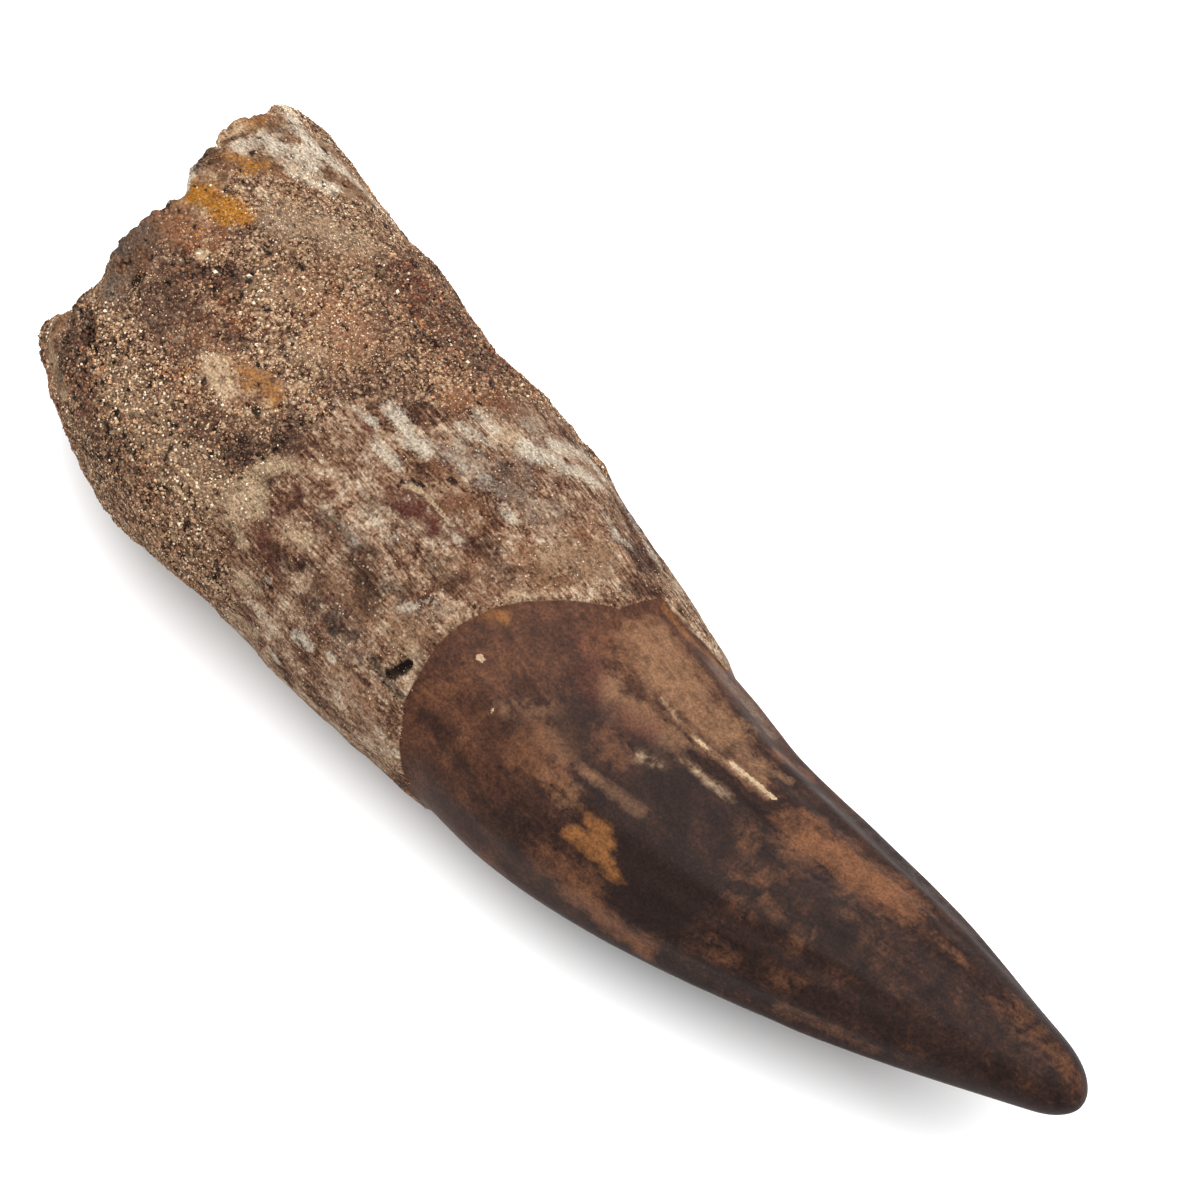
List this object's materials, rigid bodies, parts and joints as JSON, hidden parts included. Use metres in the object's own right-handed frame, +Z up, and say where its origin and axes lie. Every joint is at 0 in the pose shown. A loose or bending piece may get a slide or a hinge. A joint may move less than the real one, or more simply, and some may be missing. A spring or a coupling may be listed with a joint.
{
  "type": "fossil spinosaurus tooth",
  "caption": "Curved conical fossil dinosaur tooth lying on its side, with a smooth dark enamel crown and a broken root crusted with sand.",
  "frame": {"origin": "middle of the bounding box in plan, at the height of the surface that the tooth lies on", "axes": "+X along the tooth from the broken root to the tip of the crown, +Y to the hollow side of its curve, +Z up"},
  "size_m": [0.0994, 0.0324, 0.0231],
  "materials": {
    "fossil_tooth": "mineralised tooth: satin dark brown enamel on the crown, fibrous tan bone and matt brown cemented sand on the root"
  },
  "bodies": {
    "root": {"spinosaurus_tooth": "fossil_tooth"}
  },
  "joints": []
}
